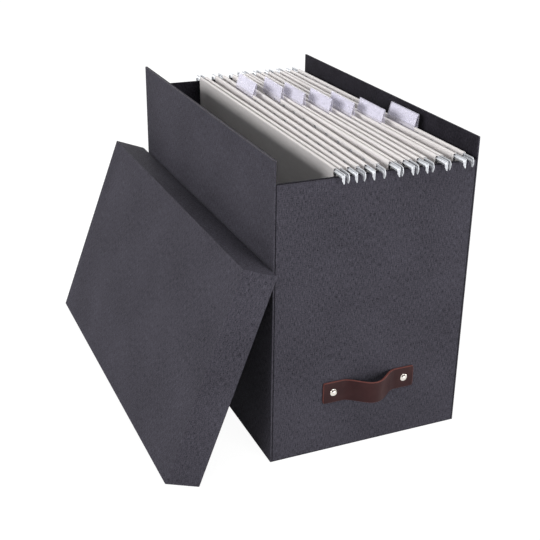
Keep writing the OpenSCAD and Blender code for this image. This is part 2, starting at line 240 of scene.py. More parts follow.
def rounded_block(low: Array, high: Array, radius: float, levels: tuple[float, ...] = ()) -> Surface:
    """A block with round edges and corners.

    A point q of a grid on a plain block is moved to c + r (q - c) / |q - c|, where c is q held to
    the block that is r smaller on each side. The mark "edge" is 1 on the rounding and falls to 0
    over the band beside it.

    Args:
        low: lowest corner.
        high: highest corner.
        radius: radius of the edges.
        levels: heights at which the sides get a further row of points.

    Returns:
        The closed block.
    """
    middle, half = (low + high) / 2, (high - low) / 2
    rise = radius * np.tan(np.radians(np.linspace(45, 0, 3)))
    points, faces, count = [], [], 0
    for axis in range(3):
        a, b = (axis + 1) % 3, (axis + 2) % 3
        lines = []
        for k in (a, b):
            out = half[k] - radius + rise
            flat = half[k] - radius - min(WEAR_BAND, (half[k] - radius) / 2)
            further = np.array(levels) - middle[k] if k == 2 else []
            lines.append(np.sort(np.concatenate([-out, [-flat, flat], further, out])))
        grid = np.zeros((len(lines[0]), len(lines[1]), 3))
        grid[..., a], grid[..., b] = lines[0][:, None], lines[1][None, :]
        for side in (-1, 1):
            grid[..., axis] = side * half[axis]
            points.append(grid.reshape(-1, 3).copy())
            quads = cells(*grid.shape[:2]) + count
            faces.append(quads if side > 0 else quads[:, ::-1])
            count += grid.shape[0] * grid.shape[1]
    plain = np.concatenate(points)
    core = np.clip(plain, radius - half, half - radius)
    away = plain - core
    length = np.linalg.norm(away, axis=1, keepdims=True)
    placed = core + away / length * radius
    depth = np.sort(half - np.abs(plain), axis=1)[:, 1]
    edge = (depth < radius * 1.001).astype(float)
    where, first, number = np.unique(np.round(placed, 8), axis=0, return_index=True, return_inverse=True)
    quads = number.reshape(-1)[np.concatenate(faces)]
    return Surface(where + middle, as_faces(quads), {"edge": edge[first]})


def corner_turns() -> tuple[Array, Array, Array]:
    """The quarter turns at a rectangle's four round corners, anticlockwise.

    Returns:
        The angle of each point, and the two signs of its corner's place.
    """
    angle = np.radians(np.linspace(0, 90, CORNER_STEPS))[None, :] + np.radians([0, 90, 180, 270])[:, None]
    return angle.ravel(), np.repeat([1, -1, -1, 1], CORNER_STEPS), np.repeat([1, 1, -1, -1], CORNER_STEPS)


def round_loop(half_x: float, half_y: float, radius: float, insets: Array) -> Array:
    """Loops of a rectangle with round corners, each drawn in by its own inset.

    A corner's centre lies max(radius, inset) inside both sides and its radius is
    max(radius - inset, 0).

    Args:
        half_x: half of the rectangle's width.
        half_y: half of its length.
        radius: corner radius of the outermost loop.
        insets: how far each loop is drawn in.

    Returns:
        Points, loops by points by 2, anticlockwise.
    """
    angle, sign_x, sign_y = corner_turns()
    inset = np.asarray(insets)[:, None]
    centre = np.maximum(radius, inset)
    bend = np.maximum(radius - inset, 0)
    x = sign_x * (half_x - centre) + bend * np.cos(angle)
    y = sign_y * (half_y - centre) + bend * np.sin(angle)
    return np.stack([x, y], -1)


def weave_map(piece: bpy.types.Object, across: Array, along: Array) -> None:
    """Gives a piece a UV map in metres, with U across the warp threads and V along them.

    Every face takes the two of the three directions that it faces least. V keeps to the warp's
    direction, or on the edges across it to the third one, as paper does that is folded over them.

    Args:
        piece: the object to map.
        across: unit vector across the warp.
        along: unit vector along the warp.
    """
    data = piece.data
    third = np.cross(across, along)
    axes = np.stack([across, along, third], 1)
    points = np.zeros(len(data.vertices) * 3)
    data.vertices.foreach_get("co", points)
    corner = np.zeros(len(data.loops), int)
    data.loops.foreach_get("vertex_index", corner)
    normals = np.zeros(len(data.polygons) * 3)
    data.polygons.foreach_get("normal", normals)
    sizes = np.zeros(len(data.polygons), int)
    data.polygons.foreach_get("loop_total", sizes)
    facing = np.abs(normals.reshape(-1, 3) @ axes).argmax(1)
    place = (points.reshape(-1, 3) @ axes)[corner]
    pick = np.array([[2, 1], [0, 2], [0, 1]])[np.repeat(facing, sizes)]
    rows = np.arange(len(corner))
    layer = data.uv_layers.new(name="weave")
    layer.data.foreach_set("uv", np.stack([place[rows, pick[:, 0]], place[rows, pick[:, 1]]], 1).ravel())


# Shaders


SEEN_RAYS = ("Camera", "Glossy", "Transmission")


class Wire:
    """A shader socket's value. Its operators add Math nodes."""

    def __init__(self, book: "Nodes", socket: bpy.types.NodeSocket) -> None:
        """Keeps the socket and the tree that it belongs to."""
        self.book = book
        self.socket = socket

    def math(self, operation: str, *others: "Wire | float") -> "Wire":
        """A Math node on this value and others."""
        return self.book.node("ShaderNodeMath", {"operation": operation}, dict(enumerate((self, *others))))

    def __add__(self, other: "Wire | float") -> "Wire":
        """Sum."""
        return self.math("ADD", other)

    def __sub__(self, other: "Wire | float") -> "Wire":
        """Difference."""
        return self.math("SUBTRACT", other)

    def __rsub__(self, other: float) -> "Wire":
        """A number less this value."""
        return self.book.node("ShaderNodeMath", {"operation": "SUBTRACT"}, {0: other, 1: self})

    def __mul__(self, other: "Wire | float") -> "Wire":
        """Product."""
        return self.math("MULTIPLY", other)

    __radd__ = __add__
    __rmul__ = __mul__

    def ramp(self, low: float, high: float) -> "Wire":
        """0 below low, 1 above high and a straight rise between."""
        settings = {"clamp": True}
        return self.book.node("ShaderNodeMapRange", settings, {0: self, 1: low, 2: high, 3: 0.0, 4: 1.0})


class Nodes:
    """The node tree of a material or of the world."""

    def __init__(self, owner: bpy.types.ID) -> None:
        """Empties the owner's tree."""
        owner.use_nodes = True
        self.tree = owner.node_tree
        self.tree.nodes.clear()

    def put(self, socket: bpy.types.NodeSocket, value: "Wire | float | tuple") -> None:
        """Links a wire to a socket, or sets the socket's own value."""
        if isinstance(value, Wire):
            self.tree.links.new(value.socket, socket)
        else:
            socket.default_value = value

    def node(self, kind: str, settings: dict, values: dict, output: int | str = 0) -> Wire:
        """Adds a node.

        Args:
            kind: the node's type.
            settings: its properties, set before its sockets.
            values: values or wires by socket number or name.
            output: the socket to return.

        Returns:
            The wire from that output.
        """
        made = self.tree.nodes.new(kind)
        for key, value in settings.items():
            setattr(made, key, value)
        for key, value in values.items():
            self.put(made.inputs[key], value)
        return Wire(self, made.outputs[output])

    def seen(self) -> Wire:
        """1 on the camera's rays and on those that shiny or clear surfaces send on."""
        path = self.tree.nodes.new("ShaderNodeLightPath")
        camera, shiny, clear = (Wire(self, path.outputs[f"Is {ray} Ray"]) for ray in SEEN_RAYS)
        return camera.math("MAXIMUM", shiny).math("MAXIMUM", clear)

    def blend(self, share: Wire, low: Wire, high: Wire, output: bpy.types.Node) -> None:
        """Mixes two shaders by a share into an output node."""
        self.put(output.inputs[0], self.node("ShaderNodeMixShader", {}, {0: share, 1: low, 2: high}))


class NodeBook(Nodes):
    """A material's node tree, with its Principled shader."""

    def __init__(self, name: str) -> None:
        """Starts a material with one Principled shader."""
        self.material = bpy.data.materials.new(name)
        super().__init__(self.material)
        self.shader = self.tree.nodes.new("ShaderNodeBsdfPrincipled")
        self.output = self.tree.nodes.new("ShaderNodeOutputMaterial")
        self.tree.links.new(self.shader.outputs[0], self.output.inputs[0])

    def set(self, **values: "Wire | float | tuple") -> None:
        """Sets or links the shader's sockets, whose names are given with _ for a space."""
        for key, value in values.items():
            name = key.replace("_", " ")
            self.put(self.shader.inputs[name], value)

    def place(self, woven: bool = False) -> Wire:
        """Object coordinates in metres, or the piece's own UV map."""
        return self.node("ShaderNodeTexCoord", {}, {}, "UV" if woven else "Object")

    def scaled(self, place: Wire, scale: Triple) -> Wire:
        """A place times a scale for each direction."""
        return self.node("ShaderNodeVectorMath", {"operation": "MULTIPLY"}, {0: place, 1: scale})

    def noise(self, place: Wire, scale: Triple, detail: float = 3.0) -> Wire:
        """Noise from 0 to 1 on a place times a scale."""
        values = {"Vector": self.scaled(place, scale), "Scale": 1.0, "Detail": detail}
        return self.node("ShaderNodeTexNoise", {}, values)

    def mix(self, share: "Wire | float", low: "Wire | Colour", high: "Wire | Colour") -> Wire:
        """A colour between two colours."""
        def full(c: "Wire | Colour") -> "Wire | tuple":
            return c if isinstance(c, Wire) else (*c, 1.0)
        made = self.tree.nodes.new("ShaderNodeMix")
        made.data_type = "RGBA"
        for number, value in ((0, share), (6, full(low)), (7, full(high))):
            self.put(made.inputs[number], value)
        return Wire(self, made.outputs[2])

    def mark(self, name: str) -> Wire:
        """A value that the mesh carries."""
        return self.node("ShaderNodeAttribute", {"attribute_name": name}, {}, "Fac")

    def bump(self, height: Wire, distance: float) -> None:
        """Bends the shader's normal by a height from 0 to 1, which stands for a distance in metres."""
        values = {"Height": height, "Distance": distance, "Strength": 1.0}
        self.set(Normal=self.node("ShaderNodeBump", {}, values))


def tone(red: int, green: int, blue: int) -> Colour:
    """A colour from 0 to 255 a channel, as linear light."""
    c = np.array([red, green, blue]) / 255
    linear = np.where(c <= 0.04045, c / 12.92, ((c + 0.055) / 1.055) ** 2.4)
    return tuple(float(v) for v in linear)


@dataclass(frozen=True)
class Finish:
    """A surface finish, which becomes one material."""

    name: str

    def paint(self, book: NodeBook) -> None:
        """Adds the nodes of the finish."""
        raise NotImplementedError

    @cache
    def material(self) -> bpy.types.Material:
        """The finish as a material, made once."""
        book = NodeBook(self.name)
        self.paint(book)
        return book.material

    def dress(self, piece: bpy.types.Object) -> None:
        """Gives the finish to a piece in place of what it has."""
        piece.data.materials.clear()
        piece.data.materials.append(self.material())


@dataclass(frozen=True)
class Linen(Finish):
    """Paper with a linen weave: uneven warp and weft, short flecks, worn edges and painted shade in the
    seams.
    """

    dark: Colour = tone(14, 13, 16)
    light: Colour = tone(76, 74, 83)
    worn: Colour = tone(106, 103, 107)
    # near-black painted shade for the seams where the walls meet
    seam_shade: Colour = tone(10, 9, 11)
    thread: float = 0.5 * MM
    mapped: bool = True

    def paint(self, book: NodeBook) -> None:
        """A plain weave of warp and weft, with long noises along both and a short one for flecks.

        With a = sin(pi u / p) and b = sin(pi v / p) for the thread's width p, the warp's height is
        |a| (1 + a b) / 2 and the weft's |b| (1 - a b) / 2. The mark "edge" is 1 on worn edges and
        -1 in seams, where a near-black painted shade stands in for the shadow in the joint.
        """
        place = book.place(self.mapped)
        warp = book.noise(place, (1 / (0.62 * MM), 1 / (4.5 * MM), 1))
        weft = book.noise(place, (1 / (3 * MM), 1 / (0.6 * MM), 1))
        fleck = book.noise(place, (1 / (0.7 * MM), 1 / (0.85 * MM), 1))
        cloud = book.noise(place, (16, 16, 16), 2)
        parts = book.tree.nodes.new("ShaderNodeSeparateXYZ")
        book.put(parts.inputs[0], book.scaled(place, (math.pi / self.thread, math.pi / self.thread, 0)))
        a, b = (Wire(book, parts.outputs[k]).math("SINE") for k in range(2))
        over = a * b * 0.5
        weave = (a.math("ABSOLUTE") * (0.5 + over)).math("MAXIMUM", b.math("ABSOLUTE") * (0.5 - over))
        share = warp * 1.0 + weft * 0.55 + fleck * 0.9 + cloud * 0.25 + weave * 0.3 - 0.98
        colour = book.mix(share.ramp(0.12, 0.88), self.dark, self.light)
        if self.mapped:
            edge = book.mark("edge")
            fray = edge.math("MAXIMUM", 0.0) * (warp + fleck - 0.5).ramp(0.3, 0.75)
            colour = book.mix(fray * 0.6, colour, self.worn)
            # painted shade: the seams are mixed towards near-black, standing in for the shadow in the joint
            colour = book.mix((edge * -1.0).math("MAXIMUM", 0.0) * 0.85, colour, self.seam_shade)
        book.set(Base_Color=colour, Roughness=0.9, Specular_IOR_Level=0.05)
        book.bump(warp + weft * 0.7 + fleck * 0.6 + weave * 0.5, 0.13 * MM)


@dataclass(frozen=True)
class BlackPaper(Finish):
    """Black lining paper with a fine felt grain."""

    def paint(self, book: NodeBook) -> None:
        """Two noises for the grain and a broad one for its unevenness."""
        place = book.place()
        grain = book.noise(place, (700, 700, 500))
        broad = book.noise(place, (60, 60, 60), 2)
        share = (grain * 0.75 + broad * 0.25).ramp(0.36, 0.64)
        book.set(Base_Color=book.mix(share, tone(20, 18, 23), tone(43, 41, 48)), Roughness=0.8 + 0.15 * grain)
        book.set(Specular_IOR_Level=0.08)
        book.bump(grain, 0.12 * MM)


@dataclass(frozen=True)
class GreyBoard(Finish):
    """Pressed grey board with short fibres and specks."""

    def paint(self, book: NodeBook) -> None:
        """Stretched noise for fibres, and dark specks where a fine noise is high."""
        place = book.place()
        fibre = book.noise(place, (700, 120, 300))
        speck = book.noise(place, (500, 500, 500), 0).ramp(0.68, 0.76)
        colour = book.mix(fibre.ramp(0.3, 0.7), tone(128, 123, 114), tone(150, 145, 136))
        book.set(Base_Color=book.mix(speck * 0.6, colour, tone(84, 78, 70)), Roughness=0.93)
        book.bump(fibre, 0.08 * MM)


@dataclass(frozen=True)
class FolderCard(Finish):
    """Off-white card with faint fibres and painted shade in its creases."""

    def paint(self, book: NodeBook) -> None:
        """Fibres from stretched noise, a broad unevenness, and painted shade along the creases."""
        place = book.place()
        fibre = book.noise(place, (800, 160, 500))
        broad = book.noise(place, (25, 12, 25), 2)
        share = (fibre * 0.5 + broad * 0.5).ramp(0.25, 0.75)
        colour = book.mix(share, tone(224, 220, 219), tone(238, 235, 235))
        # painted shade: the creases are darkened towards grey-brown, as if in shadow
        colour = book.mix(book.mark("crease") * 0.35, colour, tone(180, 173, 170))
        book.set(Base_Color=colour, Roughness=0.72 + 0.1 * fibre, Specular_IOR_Level=0.35)
        book.bump(fibre, 0.02 * MM)


@dataclass(frozen=True)
class BrightSteel(Finish):
    """Zinc-bright steel with rolling marks along the strip."""

    base: Colour = tone(205, 207, 211)
    roughness: float = 0.55

    def paint(self, book: NodeBook) -> None:
        """Streaks along Y vary the colour and the roughness."""
        place = book.place()
        streak = book.noise(place, (2600, 60, 2600), 2)
        cloud = book.noise(place, (220, 90, 220), 2)
        dull = tuple(0.8 * c for c in self.base)
        colour = book.mix((streak * 0.6 + cloud * 0.4).ramp(0.3, 0.7), dull, self.base)
        book.set(Base_Color=colour, Metallic=1.0, Roughness=self.roughness + 0.15 * streak)
        book.bump(streak, 0.01 * MM)


@dataclass(frozen=True)
class PolishedChrome(Finish):
    """Polished plating with faint wear."""

    def paint(self, book: NodeBook) -> None:
        """A little noise in the roughness."""
        wear = book.noise(book.place(), (900, 900, 900))
        colour = book.mix(wear.ramp(0.35, 0.75), tone(236, 230, 222), tone(214, 206, 198))
        book.set(Base_Color=colour, Metallic=1.0, Roughness=0.1 + 0.12 * wear)
        book.bump(wear, 0.004 * MM)


@dataclass(frozen=True)
class SmoothLeather(Finish):
    """Dark red-brown leather with a fine grain, and cut edges that show the paler hide."""

    def paint(self, book: NodeBook) -> None:
        """Cell pattern for the grain, clouds of colour, and the cut edge from its mark."""
        place = book.place()
        cloud = book.noise(place, (70, 70, 70))
        pore = book.node("ShaderNodeTexVoronoi", {"feature": "F1"}, {"Vector": place, "Scale": 1900.0})
        fine = book.noise(place, (1800, 1800, 1800), 2)
        colour = book.mix(cloud.ramp(0.3, 0.7), tone(37, 15, 17), tone(48, 25, 25))
        colour = book.mix(book.mark("cut") * (0.3 + 0.5 * fine), colour, tone(126, 76, 70))
        book.set(Base_Color=colour, Roughness=0.44 + 0.14 * fine, Specular_IOR_Level=0.14)
        book.bump(pore * 0.5 + fine * 0.5, 0.05 * MM)


@dataclass(frozen=True)
class ClearPlastic(Finish):
    """Clear film with a violet cast and fine scuffs."""

    def paint(self, book: NodeBook) -> None:
        """Scuffs vary the film's cover and its roughness."""
        scuff = book.noise(book.place(), (300, 1400, 900)).ramp(0.35, 0.8)
        colour = book.mix(scuff, tone(230, 227, 243), tone(239, 237, 250))
        book.set(Base_Color=colour, Roughness=0.3 + 0.12 * scuff, Alpha=0.26 + 0.06 * scuff, IOR=1.45)
        book.bump(scuff, 0.001 * MM)


@dataclass(frozen=True)
class LabelPaper(Finish):
    """Blank white paper."""

    def paint(self, book: NodeBook) -> None:
        """Fine fibres."""
        fibre = book.noise(book.place(), (900, 900, 900))
        colour = book.mix(fibre.ramp(0.3, 0.7), tone(233, 231, 243), tone(244, 243, 251))
        book.set(Base_Color=colour, Roughness=0.85, Alpha=0.72)
        book.bump(fibre, 0.01 * MM)


LINEN = Linen("woven_linen")
PLAIN_LINEN = Linen("plain_linen", mapped=False)
BLACK_PAPER = BlackPaper("felted_black_paper")
GREY_BOARD = GreyBoard("pressed_board")
CARD = FolderCard("off_white_card")
STEEL = BrightSteel("bright_steel")
NUT_STEEL = BrightSteel("dull_steel", base=tone(196, 196, 198), roughness=0.5)
CHROME = PolishedChrome("polished_chrome")
LEATHER = SmoothLeather("red_brown_leather")
PLASTIC = ClearPlastic("clear_film")
LABEL = LabelPaper("blank_paper")


def settle(piece: bpy.types.Object, finish: Finish, body: str, slot: str, *nodes: str) -> bpy.types.Object:
    """Finishes a piece: material, body and the nodes that it stands for.

    Args:
        piece: the new piece.
        finish: its finish.
        body: the body that it moves with.
        slot: not used.
        nodes: the CAD nodes that it replaces.

    Returns:
        The same piece.
    """
    finish.dress(piece)
    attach(piece, body)
    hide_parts(*nodes)
    log.info("%s: %d faces on %s", piece.name, len(piece.data.polygons), body)
    return piece


def dress_nodes(finish: Finish, *nodes: str) -> None:
    """Gives CAD nodes that stay in view their finish."""
    for name in nodes:
        finish.dress(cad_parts[name])
        log.info("%s: dressed", name)


# The box


class Wall(Enum):
    """The four wrapped walls of the box."""

    LEFT = "left"
    RIGHT = "right"
    FRONT = "front"
    BACK = "back"

    @property
    def across(self) -> Array:
        """The direction across the warp: along the wall."""
        return np.array([0.0, 1.0, 0.0] if self in (Wall.LEFT, Wall.RIGHT) else [1.0, 0.0, 0.0])


@dataclass
class BoxShell:
    """The box's walls, base and lining."""

    body: str = "box"
    edge_radius: float = 0.45 * MM
    # width of the painted shade along the seams, and of the rows of points that bound it
    seam_shade_band: float = WEAR_BAND
    side_wear: float = 0.15

    def wrap(self, wall: Wall) -> bpy.types.Object:
        """A wall's paper, wrapped round its board with soft edges.

        The end walls' paper reaches into the long walls by its edge's radius, so that the seams
        stay closed. Along the seams the paper gets painted shade, a near-black line where the walls meet.
        """
        node = f"{wall.value}_cover"
        low, high = (np.array(v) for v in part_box(node))
        end_top = np.array(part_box("front_cover")[1])
        if wall in (Wall.FRONT, Wall.BACK):
            low[0] -= self.edge_radius
            high[0] += self.edge_radius
        surface = rounded_block(low, high, self.edge_radius, (end_top[2] - self.seam_shade_band, end_top[2]))
        x, y, z = np.abs(surface.points).T
        # where the walls meet the mark is set to -1: painted shade, a near-black line in the joint
        seam_shade = x > end_top[0] - self.seam_shade_band
        if wall in (Wall.LEFT, Wall.RIGHT):
            seam_shade = (x < end_top[0] + self.seam_shade_band) & (y > high[1] - self.seam_shade_band) & (z < end_top[2])
        worn = np.where(z > high[2] - 1.05 * self.edge_radius, 1.0, self.side_wear)
        surface.marks["edge"] *= np.where(seam_shade, -1.0, worn)
        piece = surface.mesh(f"{wall.value}_wrap")
        weave_map(piece, wall.across, np.array([0.0, 0.0, 1.0]))
        return settle(piece, LINEN, self.body, "linen_paper", node)

    def build(self) -> None:
        """Wraps the walls and dresses what the CAD model draws well."""
        for wall in Wall:
            self.wrap(wall)
        dress_nodes(PLAIN_LINEN, "base_cover")
        dress_nodes(BLACK_PAPER, "lining")
        dress_nodes(GREY_BOARD, "base_board", *(f"{w.value}_board" for w in Wall))


@dataclass
class Handle:
    """The leather strap on the front wall, with its screws and nuts."""

    body: str = "box"
    low: Array = field(default_factory=lambda: np.array(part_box("handle_strap")[0]))
    high: Array = field(default_factory=lambda: np.array(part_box("handle_strap")[1]))
    thickness: float = 2 * MM
    arch_length: float = 51 * MM
    screw_inset: float = 9.6 * MM
    corner_radius: float = 1.5 * MM
    soft_edge: float = 0.55 * MM
    least_depth: float = 0.6 * MM
    wall_gap: float = 0.02 * MM
    dimple_depth: float = 0.25 * MM
    dimple_width: float = 5 * MM
    head_radius: float = 3.5 * MM
    head_height: float = 1.9 * MM
    rim_height: float = 0.35 * MM
    shank_radius: float = 1.8 * MM
    shank_depth: float = 3.5 * MM

    def __post_init__(self) -> None:
        """Takes the strap's size and place from its CAD node."""
        self.length, depth, self.width = self.high - self.low
        self.middle_x, _, self.middle_z = (self.high + self.low) / 2
        self.wall_y = self.high[1]
        self.arch_height = depth - self.thickness

    def middle_line(self, stations: int = 96) -> tuple[Array, Array]:
        """The middle of the leather in X and depth.

        The inner face is h (1 + cos(2 pi x / l)) / 2 off the wall inside the arch, and the middle
        lies half a thickness outside it. Stations crowd towards the ends.

        Args:
            stations: number of points.

        Returns:
            The points, and the distance of each to the nearer end.
        """
        share = (1 - np.cos(np.linspace(0, math.pi, 4 * stations))) / 2
        x = (share - 0.5) * self.length
        rise = self.arch_height * (1 + np.cos(2 * math.pi * x / self.arch_length)) / 2
        depth = np.where(np.abs(x) < self.arch_length / 2, rise, 0.0)
        inner = np.stack([x, depth], 1)
        line = inner + side_of(inner) * self.thickness / 2
        line[:, 0] = np.clip(line[:, 0], -self.length / 2, self.length / 2)
        run = np.concatenate([[0], np.cumsum(np.linalg.norm(np.diff(line, axis=0), axis=1))])
        even = (1 - np.cos(np.linspace(0, math.pi, stations))) / 2
        blend = (0.35 * even + 0.65 * np.linspace(0, 1, stations)) * run[-1]
        points = np.stack([np.interp(blend, run, line[:, k]) for k in range(2)], 1)
        return points, np.minimum(blend, run[-1] - blend)

    def section(self, half_width: Array, half_depth: Array) -> tuple[Array, Array]:
        """Loops of rounded rectangles, one a station: offsets across the strap and through it."""
        angle, sign_a, sign_b = corner_turns()
        soft = np.minimum(self.soft_edge, 0.9 * half_depth)[:, None]
        across = sign_a * (half_width[:, None] - soft) + soft * np.cos(angle)
        through = sign_b * (half_depth[:, None] - soft) + soft * np.sin(angle)
        return across, through

    def strap(self) -> bpy.types.Object:
        """The strap: its section carried along the middle line, narrower where the corners round."""
        line, to_end = self.middle_line()
        corner = np.clip(self.corner_radius - to_end, 0, self.corner_radius)
        half_width = self.width / 2 - self.corner_radius + np.sqrt(self.corner_radius**2 - corner**2)
        soft = np.clip(self.soft_edge - to_end, 0, self.soft_edge)
        half_depth = self.thickness / 2 - self.soft_edge + np.sqrt(self.soft_edge**2 - soft**2)
        half_depth = np.maximum(half_depth, self.least_depth)
        across, through = self.section(half_width, half_depth)
        screw = self.length / 2 - self.screw_inset
        off = np.minimum(np.abs(line[:, :1] - screw), np.abs(line[:, :1] + screw))
        dimple = self.dimple_depth * np.exp(-(off**2 + across**2) / self.dimple_width**2)
        through = through - np.where(through > 0, dimple, 0)
        normal = side_of(line)
        x = line[:, :1] + normal[:, :1] * through
        depth = np.maximum(line[:, 1:] + normal[:, 1:] * through, self.wall_gap)
        points = np.stack([x + self.middle_x, self.wall_y - depth, across + self.middle_z], -1)
        near_side = np.abs(across) > half_width[:, None] - 0.5 * self.soft_edge
        cut = (near_side | (to_end[:, None] < 0.3 * self.soft_edge)).astype(float)
        surface = Surface(points.reshape(-1, 3), tube_faces(*across.shape), {"cut": cut.ravel()})
        piece = outward(surface.mesh("strap", 60))
        return settle(piece, LEATHER, self.body, "strap_leather", "handle_strap")

    def screw(self, side: int, around: int = 40) -> Surface:
        """One screw: a profile turned about its own axis, with a rim under the dome and a shank.

        The dome's profile is an arc of r = (a^2 + h^2) / 2h for the head's radius a and height h.
        """
        rise = self.head_height - self.rim_height
        dome = (self.head_radius**2 + rise**2) / (2 * rise)
        angle = np.linspace(0.02, math.asin(self.head_radius / dome), 12)
        out = np.stack([dome * np.sin(angle), self.head_height - dome * (1 - np.cos(angle))], 1)
        rim = np.array([
            [self.head_radius, 0.0],
            [self.shank_radius, 0.0],
            [self.shank_radius, -self.shank_depth - self.thickness],
        ])
        profile = np.concatenate([out, rim])
        turn = np.linspace(0, 2 * math.pi, around, endpoint=False)
        x = profile[:, :1] * np.cos(turn) + self.middle_x + side * (self.length / 2 - self.screw_inset)
        z = profile[:, :1] * np.sin(turn) + self.middle_z
        y = np.broadcast_to(self.wall_y - self.thickness - profile[:, 1:], x.shape)
        return Surface(np.stack([x, y, z], -1).reshape(-1, 3), tube_faces(len(profile), around))

    def build(self) -> None:
        """Makes the strap and the screws, and dresses the nuts."""
        self.strap()
        screws = self.screw(-1).joined(self.screw(1))
        settle(outward(screws.mesh("screws", 50)), CHROME, self.body, "screw_chrome", "handle_screws")
        dress_nodes(NUT_STEEL, "handle_nuts")


def outward(piece: bpy.types.Object) -> bpy.types.Object:
    """Turns a closed piece's faces outwards."""
    work = bmesh.new()
    work.from_mesh(piece.data)
    bmesh.ops.recalc_face_normals(work, faces=work.faces)
    work.to_mesh(piece.data)
    work.free()
    return piece


# The lid


@dataclass
class Lid:
    """The lid, which leans against the box's left wall."""

    body: str = "lid"
    width: float = 190 * MM
    length: float = 357.5 * MM
    height: float = 31 * MM
    lean: float = 20.6
    rest_gap: float = 0.3 * MM
    half_box: float = field(default_factory=lambda: -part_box("left_cover")[0][0])
    offset: float = 2.9 * MM
    wall: float = 1.8 * MM
    paper: float = 0.2 * MM
    top_radius: float = 0.6 * MM
    corner_radius: float = 0.6 * MM
    rim_radius: float = 0.55 * MM
    turn_in: float = 4 * MM
    plate_inset: float = 12 * MM
    edge_wear: float = 0.12

    def leaning(self, points: Array) -> Array:
        """Points of the closed lid, moved to where it leans.

        The lid is turned by lean - 90 degrees about Y, and then its side lies on the floor.
        """
        angle = math.radians(self.lean - 90)
        c, s = math.cos(angle), math.sin(angle)
        turned = points @ np.array([[c, 0, s], [0, 1, 0], [-s, 0, c]]).T
        lean = math.radians(self.lean)
        away = -self.half_box - self.rest_gap - self.width / 2 * math.sin(lean)
        return turned + np.array([away, self.offset, self.width / 2 * math.cos(lean)])

    def wrap(self) -> bpy.types.Object:
        """The lid's paper: a profile of inset and height, carried round a rectangle with round corners.

        The outer profile climbs from inside the rim round its edge, up the side and onto the
        plate. The inner one is the same path, moved in by the paper's thickness.
        """
        corners = np.array([
            [self.wall, self.turn_in],
            [self.wall, 0],
            [0, 0],
            [0, self.height],
            [self.plate_inset, self.height],
        ])
        radii = np.array([self.rim_radius, self.rim_radius, self.top_radius])
        outer, mark = with_bands(rounded_path(corners, radii), WEAR_BAND)
        profile = np.concatenate([outer, (outer - side_of(outer) * self.paper)[::-1]])
        edge = np.repeat(np.concatenate([mark, 0 * mark]), 4 * CORNER_STEPS) * self.edge_wear
        loops = round_loop(self.width / 2, self.length / 2, self.corner_radius, profile[:, 0])
        levels, around = loops.shape[:2]
        heights = np.broadcast_to(profile[:, 1][:, None], (levels, around))
        points = self.leaning(np.concatenate([loops, heights[..., None]], -1).reshape(-1, 3))
        faces = as_faces(cells(levels, around, round_columns=True))
        middle = len(outer)
        faces = [f for f in faces if not (min(f) // around == middle - 1 and max(f) // around == middle)]
        rows = np.arange(around)
        faces.append(tuple((middle - 1) * around + rows))
        faces.append(tuple(middle * around + rows[::-1]))
        last = (levels - 1) * around
        faces += [(last + k, k, (k + 1) % around, last + (k + 1) % around) for k in range(around)]
        piece = outward(Surface(points, faces, {"edge": edge}).mesh("lid_wrap"))
        lean = math.radians(self.lean)
        weave_map(piece, np.array([0.0, 1.0, 0.0]), np.array([math.sin(lean), 0.0, math.cos(lean)]))
        return settle(piece, LINEN, self.body, "linen_paper", "lid_cover", "lid_edge_strips")

    def build(self) -> None:
        """Wraps the lid and dresses its boards and lining."""
        self.wrap()
        dress_nodes(BLACK_PAPER, "lid_lining")
        dress_nodes(GREY_BOARD, *(f"lid_{side}_board" for side in ("top", "left", "right", "front", "back")))


# The folders


@dataclass(frozen=True)
class Hook:
    """The form of the hook at one end of a rail."""

    width: float
    radius: float
    tip_inset: float


ROUND_HOOK = Hook(3.5 * MM, 3.5 * MM, 1.1 * MM)
SLIM_HOOK = Hook(2.2 * MM, 1 * MM, 0.1 * MM)


